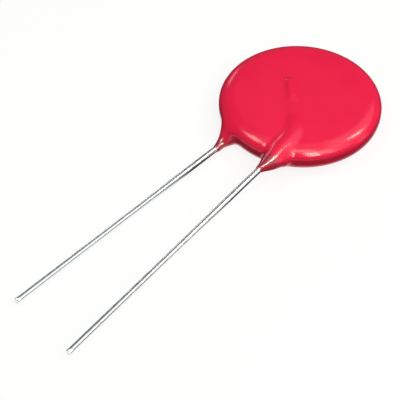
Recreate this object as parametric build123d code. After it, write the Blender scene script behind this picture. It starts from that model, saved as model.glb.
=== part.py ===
from build123d import *
from collections import namedtuple
import os
from math import cos, radians, sin, tan

# A 20 mm class disc varistor with two radial wire leads, lying on its back face.
# Millimetres. +Z is up through the disc, +Y points away from the leads, and +X is the front lead's side.
# It is modelled about the disc's centre and moved at the end, so that the origin is the middle of what it
# covers, at its lowest level. Each lead is drawn on the front face, and the back one is then turned over.

# ceramic disc and its fired silver electrodes
CERAMIC_D = 19.6
CERAMIC_T = 2.0
ELECTRODE_D = 17.6
ELECTRODE_T = 0.05

# leads: round tinned wire, bent once over the disc and a little outward again at the coating's tip
WIRE_D = 0.8
LEAD_PITCH = 8.0            # between the leads' axes, level with the edge of the body
LEG_LEAN = 4.6              # degrees that each lead leans outward inside its leg of coating
LEAD_SPLAY = 2.6            # degrees that each lead leans outward past its leg
BEND_R = 6.0                # of the bend over the disc
SPLAY_R = 4.0               # of the slight bend past the leg's tip
BARE_NECK = 0.25            # from the leg's tip to that bend

FRONT_LEAD_OUT = 35.9       # from that bend to the cut end
FRONT_INSET = 5.55          # from the edge of the body in to the bend over the disc
FRONT_TURN = 39.5           # degrees that it turns there
FRONT_REACH = 8.95          # on from there to the inner end
FRONT_LEG = 3.1             # how far the coating runs down the lead past the body

BACK_LEAD_OUT = 34.7
BACK_INSET = 7.4
BACK_TURN = 47.5            # degrees
BACK_REACH = 10.8
BACK_LEG = 1.7

# solder that holds each lead's inner run to its electrode
SOLDER_FILM = 0.05          # under the wire
SOLDER_FOOT = 0.95          # half width where it wets the electrode
SOLDER_WETTING = 15.0       # degrees below the wire's mid height that it reaches up to
SOLDER_SETBACK = 0.4        # from the wire's inner end to the solder
SOLDER_RUN = 5.4            # length along the wire

# dipped epoxy coating
COAT_RIM = 1.2              # over the ceramic's rim
COAT_FACE = 1.0             # over the ceramic's faces
COAT_WIRE = 0.4             # over the wires
RIM_FLAT = 0.7              # upright band between the rim's two roundings
COAT_BLEND = 1.2            # radius where the coating over a wire runs out into the body
LEG_SHOULDER = 0.7          # where a leg starts to draw in, past the body
TIP_COAT = 0.06             # over the wire at the leg's tip

# worked out from the sizes above
WIRE_R = WIRE_D / 2
BODY_R = CERAMIC_D / 2 + COAT_RIM
BODY_T = CERAMIC_T + 2 * COAT_FACE
ELECTRODE_Z = CERAMIC_T / 2 + ELECTRODE_T
WIRE_Z = ELECTRODE_Z + SOLDER_FILM + WIRE_R
RIDGE_R = WIRE_R + COAT_WIRE
TIP_R = WIRE_R + TIP_COAT
RIM_R = (BODY_T - RIM_FLAT) / 2

Lead = namedtuple("Lead", "out inset turn reach leg")
FRONT = Lead(FRONT_LEAD_OUT, FRONT_INSET, FRONT_TURN, FRONT_REACH, FRONT_LEG)
BACK = Lead(BACK_LEAD_OUT, BACK_INSET, BACK_TURN, BACK_REACH, BACK_LEG)


def leaning(degrees):
    """Level direction that runs inward and leans by this much to the left of +Y."""
    return Vector(-sin(radians(degrees)), cos(radians(degrees)), 0)


def leg_axis(out):
    """Point on the lead's axis inside its leg, `out` beyond the edge of the body."""
    return Vector(LEAD_PITCH / 2 + out * tan(radians(LEG_LEAN)), -BODY_R - out, WIRE_Z)


def splay_corner(lead):
    return leg_axis(lead.leg + BARE_NECK)


def cut_end(lead):
    return splay_corner(lead) - leaning(LEAD_SPLAY) * lead.out


def inner_end(lead):
    return leg_axis(-lead.inset) + inner_way(lead) * lead.reach


def inner_way(lead):
    """Direction of the lead's inner run."""
    return leaning(LEG_LEAN + lead.turn)


def lead_wire(lead):
    corners = [cut_end(lead), splay_corner(lead), leg_axis(-lead.inset), inner_end(lead)]
    path = FilletPolyline(*corners, radius=[SPLAY_R, BEND_R])
    return sweep(Plane(path @ 0, z_dir=path % 0) * Circle(WIRE_R), path=path)


def ceramic_disc():
    return Cylinder(CERAMIC_D / 2, CERAMIC_T)


def front_electrode():
    return Pos(0, 0, ELECTRODE_Z - ELECTRODE_T / 2) * Cylinder(ELECTRODE_D / 2, ELECTRODE_T)


def solder_half():
    """Half of the solder's section: a concave fillet from the electrode up to the wire's side."""
    foot = Vector(SOLDER_FOOT, 0)
    wetting = radians(SOLDER_WETTING)
    shoulder = Vector(WIRE_R * cos(wetting), SOLDER_FILM + WIRE_R * (1 - sin(wetting)))
    return make_face(
        [
            Line((0, 0), foot),
            RadiusArc(foot, shoulder, SOLDER_FOOT),
            Line(shoulder, (0, shoulder.Y)),
            Line((0, shoulder.Y), (0, 0)),
        ]
    )


def solder_bed(lead):
    """Solder along both sides of the lead's inner run and under it."""
    half = solder_half()
    section = half + mirror(half, Plane.YZ) - Pos(0, SOLDER_FILM + WIRE_R) * Circle(WIRE_R)
    back = -inner_way(lead)
    start = inner_end(lead) + back * SOLDER_SETBACK
    across = Plane((start.X, start.Y, ELECTRODE_Z), x_dir=Vector(0, 0, 1).cross(back), z_dir=back)
    return extrude(across * section, SOLDER_RUN)


def body_blank():
    """The dipped body without its leads: a flat disc with a rounded rim."""
    disc = Cylinder(BODY_R, BODY_T)
    return fillet(disc.edges(), RIM_R)


def leg_sleeve(lead):
    """Coating on the lead past the body, drawn in to the tip."""
    shoulder, tip = leg_axis(LEG_SHOULDER), leg_axis(lead.leg)
    along = tip - shoulder
    return loft([Plane(shoulder, z_dir=along) * Circle(RIDGE_R), Plane(tip, z_dir=along) * Circle(TIP_R)])


def lead_bar(lead):
    """Coating round the lead alone: a round-ended bar over the disc, with the leg's sleeve."""
    path = FilletPolyline(leg_axis(LEG_SHOULDER), leg_axis(-lead.inset), inner_end(lead), radius=BEND_R)
    bar = sweep(Plane(path @ 0, z_dir=path % 0) * Circle(RIDGE_R), path=path)
    return bar + Pos(inner_end(lead)) * Sphere(RIDGE_R) + leg_sleeve(lead)


def blend_in(body, bar):
    """Fuse a bar to the body with the smooth hollow that the wet coating draws round it."""
    fused = body + bar
    return fillet(new_edges(body, bar, combined=fused), COAT_BLEND)


def turn_over(shape):
    """The back is drawn as a front and turned over about the Y axis."""
    return Rot(0, 180, 0) * shape


def epoxy_coating(inside):
    shell = blend_in(body_blank(), lead_bar(FRONT))
    shell = blend_in(shell, turn_over(lead_bar(BACK)))
    for piece in inside:
        shell -= piece
    return shell


def build():
    parts = {
        "ceramic_disc": ceramic_disc(),
        "front_electrode": front_electrode(),
        "back_electrode": turn_over(front_electrode()),
        "front_lead": lead_wire(FRONT),
        "back_lead": turn_over(lead_wire(BACK)),
        "front_solder": solder_bed(FRONT),
        "back_solder": turn_over(solder_bed(BACK)),
    }
    parts["epoxy_coating"] = epoxy_coating(list(parts.values()))
    return parts


def main():
    os.makedirs("parts", exist_ok=True)
    parts = build()
    box = Compound(children=[Part(p.wrapped) for p in parts.values()]).bounding_box()
    base = Pos(-box.center().X, -box.center().Y, -box.min.Z)
    for name, shape in parts.items():
        export_step(base * shape, os.path.join("parts", name + ".step"))


main()
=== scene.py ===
import math
from collections import namedtuple

import bpy
import numpy as np
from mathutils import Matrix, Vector

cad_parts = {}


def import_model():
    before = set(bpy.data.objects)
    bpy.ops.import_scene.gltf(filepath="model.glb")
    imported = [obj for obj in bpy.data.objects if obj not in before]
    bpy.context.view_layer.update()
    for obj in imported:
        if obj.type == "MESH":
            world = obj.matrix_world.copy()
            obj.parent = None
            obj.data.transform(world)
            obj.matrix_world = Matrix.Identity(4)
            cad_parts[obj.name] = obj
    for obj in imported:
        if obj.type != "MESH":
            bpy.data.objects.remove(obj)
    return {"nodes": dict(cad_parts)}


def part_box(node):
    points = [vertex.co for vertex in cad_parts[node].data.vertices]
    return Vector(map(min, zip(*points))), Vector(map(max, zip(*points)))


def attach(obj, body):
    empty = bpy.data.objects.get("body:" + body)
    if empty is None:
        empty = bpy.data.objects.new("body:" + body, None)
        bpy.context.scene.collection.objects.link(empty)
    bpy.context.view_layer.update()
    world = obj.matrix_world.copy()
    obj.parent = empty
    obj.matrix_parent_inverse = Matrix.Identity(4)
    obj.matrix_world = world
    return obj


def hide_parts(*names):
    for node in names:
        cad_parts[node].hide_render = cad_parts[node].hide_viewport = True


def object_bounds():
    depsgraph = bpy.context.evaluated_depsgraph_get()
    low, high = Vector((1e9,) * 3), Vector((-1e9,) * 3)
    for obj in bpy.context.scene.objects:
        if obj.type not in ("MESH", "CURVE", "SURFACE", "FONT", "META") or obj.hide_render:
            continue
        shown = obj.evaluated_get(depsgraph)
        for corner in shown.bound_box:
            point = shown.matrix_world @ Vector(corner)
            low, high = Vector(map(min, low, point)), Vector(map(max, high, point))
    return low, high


# The looks of a dipped disc varistor over its CAD frame. Lengths are in millimetres, and places are from the
# ceramic disc's centre, with +Z up through the disc and +Y away from the leads. MM turns them into the
# scene's metres. The heights of bumps, the floor and the lamps are in metres.

MM = 0.001

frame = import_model()
CAD_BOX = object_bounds()

# ---------------------------------------------------------------- places taken from the frame


def middle(node):
    lo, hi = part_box(node)
    return (lo + hi) / 2


CENTRE = middle("ceramic_disc")
COAT_LO, COAT_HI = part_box("epoxy_coating")
BODY_R = (COAT_HI.x - COAT_LO.x) / 2 / MM
COAT_TOP = (COAT_HI.z - COAT_LO.z) / 2 / MM
WIRE_Z = (middle("front_lead").z - CENTRE.z) / MM

# ---------------------------------------------------------------- the body

BODY_T = 4.0
RIM_HIGH = 1.65             # rounding of the rim, upward
RIM_WIDE = 2.5              # and inward
DOME_R = 5.5                # the faces fall away slightly from here to the rim
DOME_DROP = 0.12

# ---------------------------------------------------------------- the leads

WIRE_R = 0.4
WIRE_SIDES = 32
WIRE_STEP = 0.6             # between the rings of a wire's mesh
CUT_CHAMFER = 0.06          # at the wire's cut end
LEAD_PITCH = 8.0            # between the leads' axes, level with the edge of the body
LEG_LEAN = 4.6              # degrees that each lead leans outward inside its leg of coating
LEAD_SPLAY = 2.6            # degrees that it leans outward past its leg
BEND_R = 6.0                # of the bend over the disc
SPLAY_R = 4.0               # of the slight bend past the leg's tip
BARE_NECK = 0.25            # from the leg's tip to that bend
BEND_STEPS = 12

# Both leads are drawn as the front one, and the back one is then turned over about the Y axis.
AS_DRAWN = np.array([1.0, 1.0, 1.0])
TURNED_OVER = np.array([-1.0, 1.0, -1.0])

# out: from the slight bend to the cut end. inset: from the edge of the body in to the bend over the disc.
# turn: degrees that the lead turns there. reach: on from there to its inner end. leg: how far the coating
# runs down the lead past the body. root: the coating's radius where the leg begins. melt: over what
# difference the leg runs into the body.
Lead = namedtuple("Lead", "out inset turn reach leg root melt side")
FRONT = Lead(out=35.9, inset=5.55, turn=39.5, reach=8.95, leg=3.1, root=1.35, melt=1.2, side=AS_DRAWN)
BACK = Lead(out=34.7, inset=7.4, turn=47.5, reach=10.8, leg=1.7, root=0.95, melt=1.9, side=TURNED_OVER)

# ---------------------------------------------------------------- the coating over the leads

# A leg, by distance from its tip: where it grows from the tip's radius to its root's, and how high its
# top lies.
TIP_R = 0.43
LEG_SPREAD = (-1.0, 3.8)
LEG_TOP = (1.93, 2.0)
LEG_RISE = (0.0, 3.0)
LEG_END = (3.2, 6.0)        # here it turns into the ridge over the disc
LEG_REACH = (8.5, 11.0)     # from the disc's centre, where the leg's own melting sets in

# A second bar beside it gives the leg a flat slope on its outer side. By distance from the tip: how far the
# bar lies to the outer side, the height of its axis, and its radius.
SideEnd = namedtuple("SideEnd", "run aside high radius")
SIDE_BAR = (SideEnd(0.3, 0.0, WIRE_Z, 0.36), SideEnd(4.0, 0.9, 0.45, 0.85))
SIDE_MELT = 0.4

# The ridge, by distance from the lead's inner end: its height over the face, and how far it melts into it.
RIDGE_R = 0.8
RIDGE_RUN = (0.0, 2.2, 4.0, 6.0, 8.5)
RIDGE_HIGH = (0.28, 0.28, 0.10, 0.12, 0.28)
RIDGE_MELT = (0.30, 0.35, 1.2, 1.2, 1.15)
RIDGE_STEP = 0.3

# A shallow groove along the inner side of each ridge, where the wet coating parted.
GROOVE_DEPTH = 0.07
GROOVE_OFF = 1.25           # from the lead's axis
GROOVE_WIDTH = 0.6
GROOVE_FROM = (5.5, 8.0)    # along the lead from its inner end
GROOVE_TO = (9.5, 11.5)     # from the disc's centre
GROOVE_RISE = (0.0, 1.0)    # from the disc's mid plane up to the face

# ---------------------------------------------------------------- the coating's mesh

CELL = 0.125                # of the grid that it is drawn on
EDGE = 0.5                  # clear of the surface at the grid's edge
SETTLE_ROUNDS = 6
TINY = 1e-9                 # keeps a division away from nought

# ---------------------------------------------------------------- looks

BLEND_ENDS = (0.3, 0.7)     # part of a noise's range in which one colour gives way to the other

EPOXY_RED = (0.82, 0.0095, 0.060, 1)
EPOXY_DEEP = (0.78, 0.0085, 0.056, 1)
EPOXY_ROUGHNESS = (0.15, 0.20)
EPOXY_IOR = 1.52
EPOXY_WAVES = 0.00004       # height of the slight waves left by dipping
EPOXY_GRAIN = 0.0000012     # height of the fine grain
EPOXY_GLOSS = 0.5           # strength of the reflection
LEG_GLOSS = 1.5             # stronger reflection where the coat is thin over bright wire
LEG_LOOK_FROM = (10.6, 11.8)    # from the disc's centre, out to the legs
PAINTED_SIDE_SHADE = 0.46           # painted shade: the rim's upright sides and the legs are darkened to this share of the colour
PAINTED_SHADE_SLOPE = (0.1, 0.75)    # upright part of the surface's direction over which the painted shade fades out, from side to face

TIN = (0.95, 0.95, 0.93, 1)
TIN_DULL = (0.88, 0.88, 0.86, 1)
TIN_ROUGHNESS = (0.16, 0.24)
TIN_RIPPLE = 0.00005        # height of the unevenness of hot-dipped tin
STREAK_STRETCH = (1, 0.12, 1)
RIPPLE_STRETCH = (0.3, 1, 0.3)

# scales of the noises, in waves to the metre
EPOXY_CLOUD_SCALE = 260
EPOXY_WAVE_SCALE = 330
EPOXY_GRAIN_SCALE = 4200
EPOXY_GLOSS_SCALE = 900
TIN_STREAK_SCALE = 900
TIN_RIPPLE_SCALE = 850
TIN_GLOSS_SCALE = 1500
PLAIN_SCALE = 1200

CERAMIC = (0.10, 0.10, 0.095, 1)
SILVER = (0.80, 0.79, 0.76, 1)
SOLDER = (0.66, 0.66, 0.66, 1)
PLAIN_DARK = 0.88           # the darker tone in the inner pieces' colours

FLOOR_HALF = 3.0            # half the floor's width
FLOOR_ROUGHNESS = 0.9
FLOOR_WHITE = 0.86          # share of its own white in what the camera and reflections see
FLOOR_PALE = 0.93           # its colour there
FLOOR_BOUNCE = 0.85         # its colour for the light that it throws back on the object
FLOOR_DARK = 0.04           # its colour in reflections, away from the places below
EDGE_REACH = (12.6, 11.8)   # from the disc's centre, where white in reflections sets in, toward the body's edge
WIRES_FROM = (17.0, 25.0)   # from the disc's centre, where it sets in again along the wires
WIRES_BESIDE = (-18.0, -12.0)   # and across, from the disc's centre

# ---------------------------------------------------------------- light and camera

WORLD_COLOUR = (0.7, 0.82, 1, 1)
WORLD_STRENGTH = 0.17

WHITE = (1, 1, 1)
WARM = (1.0, 0.95, 0.80)
COOL = (0.88, 0.95, 1.0)

# Azimuth and elevation in degrees as seen from the disc, width and height, power, colour, and distance from
# the disc.
Softbox = namedtuple("Softbox", "name azimuth elevation size power colour distance", defaults=(WHITE, 0.30))
LAMPS = (
    Softbox("key", 61, 47, (0.062, 0.155), 0.40, WARM),
    Softbox("key_wing", 84, 46, (0.054, 0.16), 0.08, WARM),
    Softbox("key_top", 58, 72, (0.07, 0.065), 0.065, WARM),
    Softbox("side", 103, 48, (0.10, 0.20), 0.06, COOL),
    Softbox("overhead", 41, 88, (0.22, 0.22), 0.08, distance=0.25),
    Softbox("rear_fill", 150, 50, (0.26, 0.22), 0.13, COOL),
    Softbox("sheen", 214, 53, (0.14, 0.12), 0.005, COOL),
    Softbox("leg_light", 145, 50, (0.04, 0.08), 0.15, WARM),
    Softbox("front_spot", 314, 57, (0.09, 0.09), 0.18, WARM),
    Softbox("rear_spot", 245, 17, (0.06, 0.035), 0.018),
    Softbox("low_side", 124, 14, (0.08, 0.14), 0.028),
)

CAMERA_AZIMUTH = 41.0
CAMERA_ELEVATION = 48.5
CAMERA_DISTANCE = 164.7
CAMERA_AIM = (1.1, -21.9, 0.0)
CAMERA_LENS = 117.0
CAMERA_NEAR = 0.001         # metres

# ---------------------------------------------------------------- values that change smoothly


def ease(value, limits):
    """Smooth step from 0 at the first limit to 1 at the second."""
    t = np.clip((value - limits[0]) / (limits[1] - limits[0]), 0, 1)
    return t * t * (3 - 2 * t)


def smooth_table(at, places, values):
    """Values between the table's places, with level steps at each."""
    k = np.clip(np.searchsorted(places, at) - 1, 0, len(places) - 2)
    places, values = np.array(places), np.array(values)
    t = np.clip((at - places[k]) / (places[k + 1] - places[k]), 0, 1)
    return values[k] + (values[k + 1] - values[k]) * t * t * (3 - 2 * t)


# ---------------------------------------------------------------- the leads' axes


def resampled(line, step):
    """The same line with points no further apart than step."""
    out = [line[0]]
    for a, b in zip(line[:-1], line[1:]):
        n = math.ceil(np.linalg.norm(b - a) / step)
        out += [a + (b - a) * k / n for k in range(1, n + 1)]
    return np.array(out)


def leaning(degrees):
    """Direction in plan that runs inward and leans by this much to the left of +Y."""
    turn = math.radians(degrees)
    return np.array([-math.sin(turn), math.cos(turn)])


def leg_axis(out):
    """Point in plan on the lead's axis inside its leg, `out` beyond the edge of the body."""
    return np.array([LEAD_PITCH / 2 + out * math.tan(math.radians(LEG_LEAN)), -BODY_R - out])


def rounded_corner(before, corner, after, radius):
    """Points along the arc that replaces a corner of a plan line."""
    a, b = before - corner, after - corner
    a, b = a / np.linalg.norm(a), b / np.linalg.norm(b)
    half = math.acos(np.clip(a @ b, -1, 1)) / 2
    centre = corner + (a + b) / np.linalg.norm(a + b) * radius / math.sin(half)
    start, end = corner + a * radius / math.tan(half), corner + b * radius / math.tan(half)
    u, v = start - centre, end - centre
    sweep = math.acos(np.clip(u @ v / radius**2, -1, 1))
    t = np.linspace(0, 1, BEND_STEPS)[:, None]
    return centre + (np.sin((1 - t) * sweep) * u + np.sin(t * sweep) * v) / math.sin(sweep)


def inner_line(lead):
    """Corner over the disc and inner end of a lead, in plan."""
    corner = leg_axis(-lead.inset)
    return corner, corner + leaning(LEG_LEAN + lead.turn) * lead.reach


def wire_plan(lead):
    """Plan line of a whole lead, from the cut end to the inner end."""
    corner, inner = inner_line(lead)
    splay = leg_axis(lead.leg + BARE_NECK)
    cut = splay - leaning(LEAD_SPLAY) * lead.out
    slight_bend = rounded_corner(cut, splay, corner, SPLAY_R)
    main_bend = rounded_corner(splay, corner, inner, BEND_R)
    return np.vstack([cut, slight_bend, main_bend, inner])


# ---------------------------------------------------------------- bars of coating round a lead


def sunk(high, melt):
    """How deep a bar's top lies under the height that it reaches once it has melted into the face."""
    return np.maximum(np.sqrt(melt) - np.sqrt(high), 0) ** 2


def ridge_melt(from_end):
    return smooth_table(from_end, RIDGE_RUN, RIDGE_MELT)


def coat_line(lead):
    """The bar of coating round a lead: its axis from the leg's tip inward, and its radius at each point."""
    corner, inner = inner_line(lead)
    tip = leg_axis(lead.leg - math.sqrt(TIP_R**2 - WIRE_R**2))
    line = resampled(np.vstack([tip, rounded_corner(tip, corner, inner, BEND_R), inner]), RIDGE_STEP)
    from_tip = np.concatenate([[0], np.linalg.norm(np.diff(line, axis=0), axis=1).cumsum()])
    from_end = from_tip[-1] - from_tip
    high = smooth_table(from_end, RIDGE_RUN, RIDGE_HIGH)
    ridge_top = BODY_T / 2 + high - sunk(high, ridge_melt(from_end))
    over = ease(from_tip, LEG_END)
    spread_out = (ease(from_tip, LEG_SPREAD) - ease(0, LEG_SPREAD)) / (1 - ease(0, LEG_SPREAD))
    leg_radius = TIP_R + (lead.root - TIP_R) * spread_out
    leg_top = LEG_TOP[0] + (LEG_TOP[1] - LEG_TOP[0]) * ease(from_tip, LEG_RISE)
    radii = leg_radius * (1 - over) + RIDGE_R * over
    top = leg_top * (1 - over) + ridge_top * over
    return np.column_stack([line, top - radii]), radii


def side_line(lead):
    """The bar beside a leg, and its radii."""
    points = [[*(leg_axis(lead.leg - end.run) + (end.aside, 0)), end.high] for end in SIDE_BAR]
    return np.array(points), np.array([end.radius for end in SIDE_BAR])


# ---------------------------------------------------------------- distance fields, with their slopes


def body_field(p):
    """Disc with slightly domed faces and a rim rounded to a quarter of an ellipse above and below."""
    reach = np.hypot(p[:, 0], p[:, 1])
    out = np.clip((reach - DOME_R) / (BODY_R - RIM_WIDE - DOME_R), 0, 1)
    high = np.abs(p[:, 2]) + DOME_DROP * out**2
    axes = np.array([RIM_WIDE, RIM_HIGH])
    q = np.stack([reach - (BODY_R - RIM_WIDE), high - (BODY_T / 2 - RIM_HIGH)], 1)
    past = np.maximum(q, 0)
    k, steep = np.linalg.norm(past / axes, axis=1), np.linalg.norm(past / axes**2, axis=1)
    inside = k < TINY
    steep = np.where(inside, 1, steep)
    d = np.where(inside, (q - axes).max(1), k * (k - 1) / steep)
    way = np.where(inside[:, None], np.eye(2)[(q - axes).argmax(1)], past / axes**2 / steep[:, None])
    outward = p[:, :2] / np.maximum(reach, TINY)[:, None]
    return d, np.column_stack([outward * way[:, :1], np.sign(p[:, 2]) * way[:, 1]])


def bar_field(p, points, radii):
    """Round bar along a line, with a radius at each of its points.

    It also gives how far each place is along the line from its last point, and how far to the line's right.
    """
    best = np.full(len(p), np.inf)
    slope = np.zeros((len(p), 3))
    along, right = np.zeros(len(p)), np.zeros(len(p))
    left_to_go = np.linalg.norm(np.diff(points, axis=0), axis=1).sum()
    for a, b, radius_a, radius_b in zip(points[:-1], points[1:], radii[:-1], radii[1:]):
        run = b - a
        length = np.linalg.norm(run)
        t = np.clip((p - a) @ run / length**2, 0, 1)
        off = p - a - t[:, None] * run
        away = np.linalg.norm(off, axis=1)
        d = away - (radius_a + t * (radius_b - radius_a))
        nearer = d < best
        best[nearer] = d[nearer]
        slope[nearer] = (off / np.maximum(away, TINY)[:, None])[nearer]
        along[nearer] = (left_to_go - t * length)[nearer]
        right[nearer] = ((off[:, 0] * run[1] - off[:, 1] * run[0]) / length)[nearer]
        left_to_go -= length
    return best, slope, along, right


def melted(a, slope_a, b, slope_b, melt):
    """Union of two fields that run smoothly into each other where they differ by less than melt."""
    share = np.clip(0.5 + 0.5 * (b - a) / melt, 0, 1)
    d = b + (a - b) * share - melt * share * (1 - share)
    return d, slope_b + (slope_a - slope_b) * share[:, None]


def groove(p, along, right):
    """How deep the groove is cut at each place."""
    across = np.exp(-(((right + GROOVE_OFF) / GROOVE_WIDTH) ** 2))
    run = ease(along, GROOVE_FROM) * (1 - ease(-p[:, 1], GROOVE_TO))
    return GROOVE_DEPTH * across * run * ease(p[:, 2], GROOVE_RISE)


def coat_field(p):
    """The body, and for each lead the bar round it, the bar beside its leg and the groove."""
    d, slope = body_field(p)
    for lead in (FRONT, BACK):
        drawn = p * lead.side
        bar, bar_slope, along, right = bar_field(drawn, *coat_line(lead))
        bar, bar_slope = melted(bar, bar_slope, *bar_field(drawn, *side_line(lead))[:2], SIDE_MELT)
        melt = ridge_melt(along)
        melt = melt + (lead.melt - melt) * ease(-p[:, 1], LEG_REACH)
        d, slope = melted(d, slope, bar, bar_slope * lead.side, melt)
        d = d + groove(drawn, along, right)
    return d, slope


# ---------------------------------------------------------------- mesh of a distance field


def crossings(f, axis):
    """Grid edges along an axis that the surface crosses, how far along it does so, and which way it faces."""
    lo = [slice(None)] * 3
    hi = [slice(None)] * 3
    lo[axis], hi[axis] = slice(None, -1), slice(1, None)
    a, b = f[tuple(lo)], f[tuple(hi)]
    crossed = (a < 0) != (b < 0)
    return np.argwhere(crossed), (a / np.where(crossed, a - b, 1))[crossed], a[crossed] < 0


def surface_mesh(field, lo, hi, cell):
    """Vertices and quads of the surface where a field is nought.

    Each grid cell that the surface passes gets one vertex, in the middle of the crossings on its edges.
    """
    counts = np.ceil((hi - lo) / cell).astype(int) + 1
    axes = [lo[i] + cell * np.arange(counts[i]) for i in range(3)]
    grid = np.stack(np.meshgrid(*axes, indexing="ij"), -1)
    f = field(grid.reshape(-1, 3))[0].reshape(counts)
    quads, places = [], []
    for axis in range(3):
        at, share, rising = crossings(f, axis)
        u, v = (axis + 1) % 3, (axis + 2) % 3
        step_u, step_v = np.eye(3, dtype=int)[u], np.eye(3, dtype=int)[v]
        ring = np.stack([at, at - step_u, at - step_u - step_v, at - step_v], 1)
        quads.append(np.where(rising[:, None, None], ring[:, ::-1], ring)[:, ::-1])
        places.append(lo + (at + share[:, None] * np.eye(3)[axis]) * cell)
    cells = np.concatenate(quads)
    key = (cells[..., 0] * counts[1] + cells[..., 1]) * counts[2] + cells[..., 2]
    index = np.unique(key, return_inverse=True)[1].reshape(-1, 4)
    near = np.repeat(np.concatenate(places), 4, axis=0)
    middles = [np.bincount(index.ravel(), near[:, i]) for i in range(3)] / np.bincount(index.ravel())
    return np.transpose(middles), index


def settle(points, field):
    """Moves points onto the surface, along its slopes."""
    for _ in range(SETTLE_ROUNDS):
        d, slope = field(points)
        points = points - d[:, None] * slope / np.maximum(np.linalg.norm(slope, axis=1), TINY)[:, None]
    return points


# ---------------------------------------------------------------- pieces


def add_to_scene(name, data):
    obj = bpy.data.objects.new(name, data)
    bpy.context.scene.collection.objects.link(obj)
    return obj


def piece(name, points, faces, material, node):
    """Smooth mesh, from points in millimetres, that rides with the part and stands in for a CAD node."""
    mesh = bpy.data.meshes.new(name)
    mesh.from_pydata((points * MM + np.array(CENTRE)).tolist(), [], faces)
    mesh.validate()
    mesh.shade_smooth()
    mesh.materials.append(material)
    obj = add_to_scene(name, mesh)
    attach(obj, "root")
    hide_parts(node)


def coating(material):
    lo = np.array([-BODY_R, -BODY_R - FRONT.leg, -COAT_TOP]) - EDGE
    hi = np.array([BODY_R, BODY_R, COAT_TOP]) + EDGE
    points, quads = surface_mesh(coat_field, lo, hi, CELL)
    points = settle(points, coat_field)
    points[:, 2] = np.clip(points[:, 2], -COAT_TOP, COAT_TOP)
    piece("dipped_coating", points, quads.tolist(), material, "epoxy_coating")


def tube(line, radii):
    """Points and faces of a round bar along a plan line at the wires' height, closed at both ends."""
    along = np.gradient(line, axis=0)
    along /= np.linalg.norm(along, axis=1)[:, None]
    n = WIRE_SIDES
    angle = np.arange(n) * 2 * math.pi / n
    rings = [
        [(*(c + r * math.cos(t) * np.array([a[1], -a[0]])), WIRE_Z + r * math.sin(t)) for t in angle]
        for c, a, r in zip(line, along, radii)
    ]
    faces = [
        [i * n + k, i * n + (k + 1) % n, (i + 1) * n + (k + 1) % n, (i + 1) * n + k]
        for i in range(len(rings) - 1)
        for k in range(n)
    ]
    last = (len(rings) - 1) * n
    faces += [list(range(n))[::-1], list(range(last, last + n))]
    return np.array(rings).reshape(-1, 3), faces


def wire(name, lead, node, material):
    """A whole lead, with a small chamfer at its cut end."""
    line = resampled(wire_plan(lead), WIRE_STEP)
    first = line[0] + (line[1] - line[0]) / np.linalg.norm(line[1] - line[0]) * CUT_CHAMFER
    line = np.vstack([line[:1], first, line[1:]])
    radii = np.full(len(line), WIRE_R)
    radii[0] -= CUT_CHAMFER
    points, faces = tube(line, radii)
    piece(name, points * lead.side, faces, material, node)


# ---------------------------------------------------------------- nodes of a material


def new_material(name):
    material = bpy.data.materials.new(name)
    material.use_nodes = True
    tree = material.node_tree
    return material, tree, tree.nodes["Principled BSDF"]


def noise(tree, scale, detail=2.0, stretch=(1, 1, 1)):
    place = tree.nodes.new("ShaderNodeTexCoord")
    mapping = tree.nodes.new("ShaderNodeMapping")
    mapping.inputs["Scale"].default_value = stretch
    texture = tree.nodes.new("ShaderNodeTexNoise")
    texture.inputs["Scale"].default_value = scale
    texture.inputs["Detail"].default_value = detail
    tree.links.new(place.outputs["Object"], mapping.inputs["Vector"])
    tree.links.new(mapping.outputs["Vector"], texture.inputs["Vector"])
    return texture.outputs["Fac"]


def blended(tree, value, low, high):
    """One colour where a noise is low and another where it is high."""
    node = tree.nodes.new("ShaderNodeValToRGB")
    for element, end, colour in zip(node.color_ramp.elements, BLEND_ENDS, (low, high)):
        element.position, element.color = end, colour
    tree.links.new(value, node.inputs["Fac"])
    return node.outputs["Color"]


def bump(tree, height, distance, before=None):
    node = tree.nodes.new("ShaderNodeBump")
    node.inputs["Distance"].default_value = distance
    tree.links.new(height, node.inputs["Height"])
    if before is not None:
        tree.links.new(before, node.inputs["Normal"])
    return node.outputs["Normal"]


def mapped(tree, value, source=(0, 1), target=(0, 1), kind="LINEAR"):
    """Carries a value over from one range to another, and no further."""
    node = tree.nodes.new("ShaderNodeMapRange")
    node.interpolation_type = kind
    node.inputs["From Min"].default_value, node.inputs["From Max"].default_value = source
    node.inputs["To Min"].default_value, node.inputs["To Max"].default_value = target
    tree.links.new(value, node.inputs["Value"])
    return node.outputs["Result"]


def combined(tree, operation, *values):
    """One operation of arithmetic on sockets and plain numbers."""
    node = tree.nodes.new("ShaderNodeMath")
    node.operation = operation
    for place, value in zip(node.inputs, values):
        if isinstance(value, float):
            place.default_value = value
        else:
            tree.links.new(value, place)
    return node.outputs[0]


def parted(tree, vector):
    """The X, Y and Z of a vector."""
    node = tree.nodes.new("ShaderNodeSeparateXYZ")
    tree.links.new(vector, node.inputs["Vector"])
    return node.outputs


def from_disc(tree, operation):
    """The surface's place set against the disc's centre, as a DISTANCE or by SUBTRACT."""
    place = tree.nodes.new("ShaderNodeNewGeometry")
    node = tree.nodes.new("ShaderNodeVectorMath")
    node.operation = operation
    node.inputs[1].default_value = CENTRE
    tree.links.new(place.outputs["Position"], node.inputs[0])
    return node.outputs["Value" if operation == "DISTANCE" else "Vector"]


def metres(limits):
    return [limit * MM for limit in limits]


# ---------------------------------------------------------------- materials


def on_legs(tree, body, legs):
    """One value on the body and another on the legs."""
    place = tree.nodes.new("ShaderNodeNewGeometry")
    reach = combined(tree, "SUBTRACT", CENTRE.y, parted(tree, place.outputs["Position"])["Y"])
    return mapped(tree, reach, source=metres(LEG_LOOK_FROM), target=(body, legs))


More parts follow.
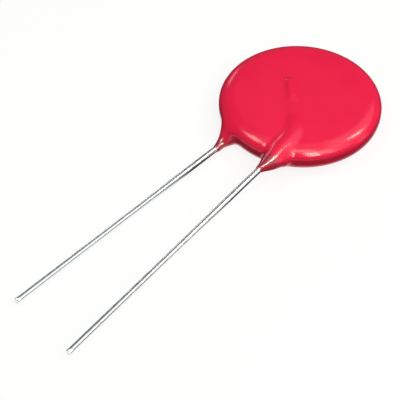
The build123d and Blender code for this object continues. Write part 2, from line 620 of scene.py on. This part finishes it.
def with_painted_shade(tree, colour):
    """The colour with painted shade, darker on surfaces that stand upright and on the legs."""
    place = tree.nodes.new("ShaderNodeTexCoord")
    upright = combined(tree, "ABSOLUTE", parted(tree, place.outputs["Normal"])["Z"])
    painted_shade = mapped(tree, upright, source=PAINTED_SHADE_SLOPE, target=(PAINTED_SIDE_SHADE, 1), kind="SMOOTHSTEP")
    scale = tree.nodes.new("ShaderNodeVectorMath")
    scale.operation = "SCALE"
    tree.links.new(colour, scale.inputs[0])
    tree.links.new(combined(tree, "MINIMUM", painted_shade, on_legs(tree, 1, PAINTED_SIDE_SHADE)), scale.inputs["Scale"])
    return scale.outputs["Vector"]


def epoxy_material():
    """Glossy red epoxy with slight waves from dipping and a faint unevenness of colour."""
    material, tree, shader = new_material("red_epoxy")
    colour = blended(tree, noise(tree, EPOXY_CLOUD_SCALE, detail=3), EPOXY_DEEP, EPOXY_RED)
    roughness = mapped(tree, noise(tree, EPOXY_GLOSS_SCALE), target=EPOXY_ROUGHNESS)
    waves = bump(tree, noise(tree, EPOXY_WAVE_SCALE, detail=1), EPOXY_WAVES)
    grain = bump(tree, noise(tree, EPOXY_GRAIN_SCALE), EPOXY_GRAIN, before=waves)
    shader.inputs["IOR"].default_value = EPOXY_IOR
    # painted shade darkens the rim's upright sides and the legs
    tree.links.new(with_painted_shade(tree, colour), shader.inputs["Base Color"])
    tree.links.new(roughness, shader.inputs["Roughness"])
    tree.links.new(on_legs(tree, EPOXY_GLOSS, LEG_GLOSS), shader.inputs["Specular IOR Level"])
    tree.links.new(grain, shader.inputs["Normal"])
    return material


def tin_material():
    """Hot-dipped tin on copper wire: bright, with soft streaks along the drawing direction."""
    material, tree, shader = new_material("tinned_wire")
    streaks = noise(tree, TIN_STREAK_SCALE, detail=4, stretch=STREAK_STRETCH)
    ripple = noise(tree, TIN_RIPPLE_SCALE, detail=0, stretch=RIPPLE_STRETCH)
    roughness = mapped(tree, noise(tree, TIN_GLOSS_SCALE), target=TIN_ROUGHNESS)
    shader.inputs["Metallic"].default_value = 1
    tree.links.new(blended(tree, streaks, TIN_DULL, TIN), shader.inputs["Base Color"])
    tree.links.new(roughness, shader.inputs["Roughness"])
    tree.links.new(bump(tree, ripple, TIN_RIPPLE), shader.inputs["Normal"])
    return material


def plain_material(name, colour, roughness, metallic):
    """A plain colour with a faint darker tone in places."""
    material, tree, shader = new_material(name)
    darker = (*(channel * PLAIN_DARK for channel in colour[:3]), 1)
    shader.inputs["Roughness"].default_value = roughness
    shader.inputs["Metallic"].default_value = metallic
    tree.links.new(blended(tree, noise(tree, PLAIN_SCALE), darker, colour), shader.inputs["Base Color"])
    return material


def shown_white(tree):
    """1 where reflections see the floor white too: right under the body's edge and along the wires.

    Elsewhere they see it dark, so that the body's dark sides keep their colour.
    """
    under = mapped(tree, from_disc(tree, "DISTANCE"), source=metres(EDGE_REACH))
    place = parted(tree, from_disc(tree, "SUBTRACT"))
    outward = mapped(tree, combined(tree, "MULTIPLY", place["Y"], -1.0), source=metres(WIRES_FROM))
    beside = mapped(tree, place["X"], source=metres(WIRES_BESIDE))
    return combined(tree, "MAXIMUM", under, combined(tree, "MULTIPLY", outward, beside))


def floor_material():
    """Floor that shows white to the camera, and to reflections in places, and keeps the object's shadow."""
    material, tree, shader = new_material("white_floor")
    shader.inputs["Roughness"].default_value = FLOOR_ROUGHNESS
    shader.inputs["Specular IOR Level"].default_value = 0
    path = tree.nodes.new("ShaderNodeLightPath")
    mirrored = combined(tree, "MAXIMUM", path.outputs["Is Glossy Ray"], path.outputs["Is Transmission Ray"])
    bounce = mapped(tree, mirrored, target=(FLOOR_BOUNCE, FLOOR_DARK))
    mirrored_white = combined(tree, "MULTIPLY", mirrored, shown_white(tree))
    seen = combined(tree, "MAXIMUM", path.outputs["Is Camera Ray"], mirrored_white)
    pale = combined(tree, "MULTIPLY", seen, FLOOR_PALE)
    tree.links.new(combined(tree, "MAXIMUM", pale, bounce), shader.inputs["Base Color"])
    glow = tree.nodes.new("ShaderNodeEmission")
    mix = tree.nodes.new("ShaderNodeMixShader")
    tree.links.new(combined(tree, "MULTIPLY", seen, FLOOR_WHITE), mix.inputs["Fac"])
    tree.links.new(shader.outputs["BSDF"], mix.inputs[1])
    tree.links.new(glow.outputs["Emission"], mix.inputs[2])
    tree.links.new(mix.outputs["Shader"], tree.nodes["Material Output"].inputs["Surface"])
    return material


# ---------------------------------------------------------------- stage, light, camera


def floor():
    half, z = FLOOR_HALF, CAD_BOX[0].z
    corners = [(-half, -half, z), (half, -half, z), (half, half, z), (-half, half, z)]
    mesh = bpy.data.meshes.new("floor")
    mesh.from_pydata(corners, [], [(0, 1, 2, 3)])
    mesh.materials.append(floor_material())
    add_to_scene("floor", mesh)


def world():
    scene = bpy.context.scene
    scene.world = bpy.data.worlds.new("studio")
    scene.world.use_nodes = True
    back = scene.world.node_tree.nodes["Background"]
    back.inputs["Color"].default_value = WORLD_COLOUR
    back.inputs["Strength"].default_value = WORLD_STRENGTH


def heading(azimuth, elevation):
    """Direction from the disc, with azimuth 0 on the leads' side."""
    a, e = math.radians(azimuth), math.radians(elevation)
    return Vector((math.sin(a) * math.cos(e), -math.cos(a) * math.cos(e), math.sin(e)))


def facing(direction):
    """Rotation that turns a lamp or camera to look against a direction."""
    return direction.to_track_quat("Z", "Y").to_euler()


def softbox(box):
    lamp = bpy.data.lights.new(box.name, "AREA")
    lamp.shape = "RECTANGLE"
    lamp.size, lamp.size_y = box.size
    lamp.energy = box.power
    lamp.color = box.colour
    obj = add_to_scene(box.name, lamp)
    away = heading(box.azimuth, box.elevation)
    obj.location = CENTRE + away * box.distance
    obj.rotation_euler = facing(away)


def camera():
    data = bpy.data.cameras.new("camera")
    data.lens = CAMERA_LENS
    data.clip_start = CAMERA_NEAR
    obj = add_to_scene("camera", data)
    away = heading(CAMERA_AZIMUTH, CAMERA_ELEVATION)
    obj.location = CENTRE + Vector(CAMERA_AIM) * MM + away * CAMERA_DISTANCE * MM
    obj.rotation_euler = facing(away)
    bpy.context.scene.camera = obj


# ---------------------------------------------------------------- the whole scene


def inner_pieces():
    """The CAD nodes inside the coating keep their own meshes."""
    silver = plain_material("fired_silver", SILVER, roughness=0.4, metallic=1)
    solder = plain_material("solder", SOLDER, roughness=0.35, metallic=1)
    looks = {
        "ceramic_disc": plain_material("zinc_oxide", CERAMIC, roughness=0.6, metallic=0),
        "front_electrode": silver,
        "back_electrode": silver,
        "front_solder": solder,
        "back_solder": solder,
    }
    for node, material in looks.items():
        mesh = frame["nodes"][node].data
        mesh.materials.clear()
        mesh.materials.append(material)


def build():
    bpy.context.scene.view_settings.view_transform = "Standard"
    inner_pieces()
    coating(epoxy_material())
    tin = tin_material()
    wire("front_wire", FRONT, "front_lead", tin)
    wire("back_wire", BACK, "back_lead", tin)
    floor()
    world()
    for box in LAMPS:
        softbox(box)
    camera()


build()
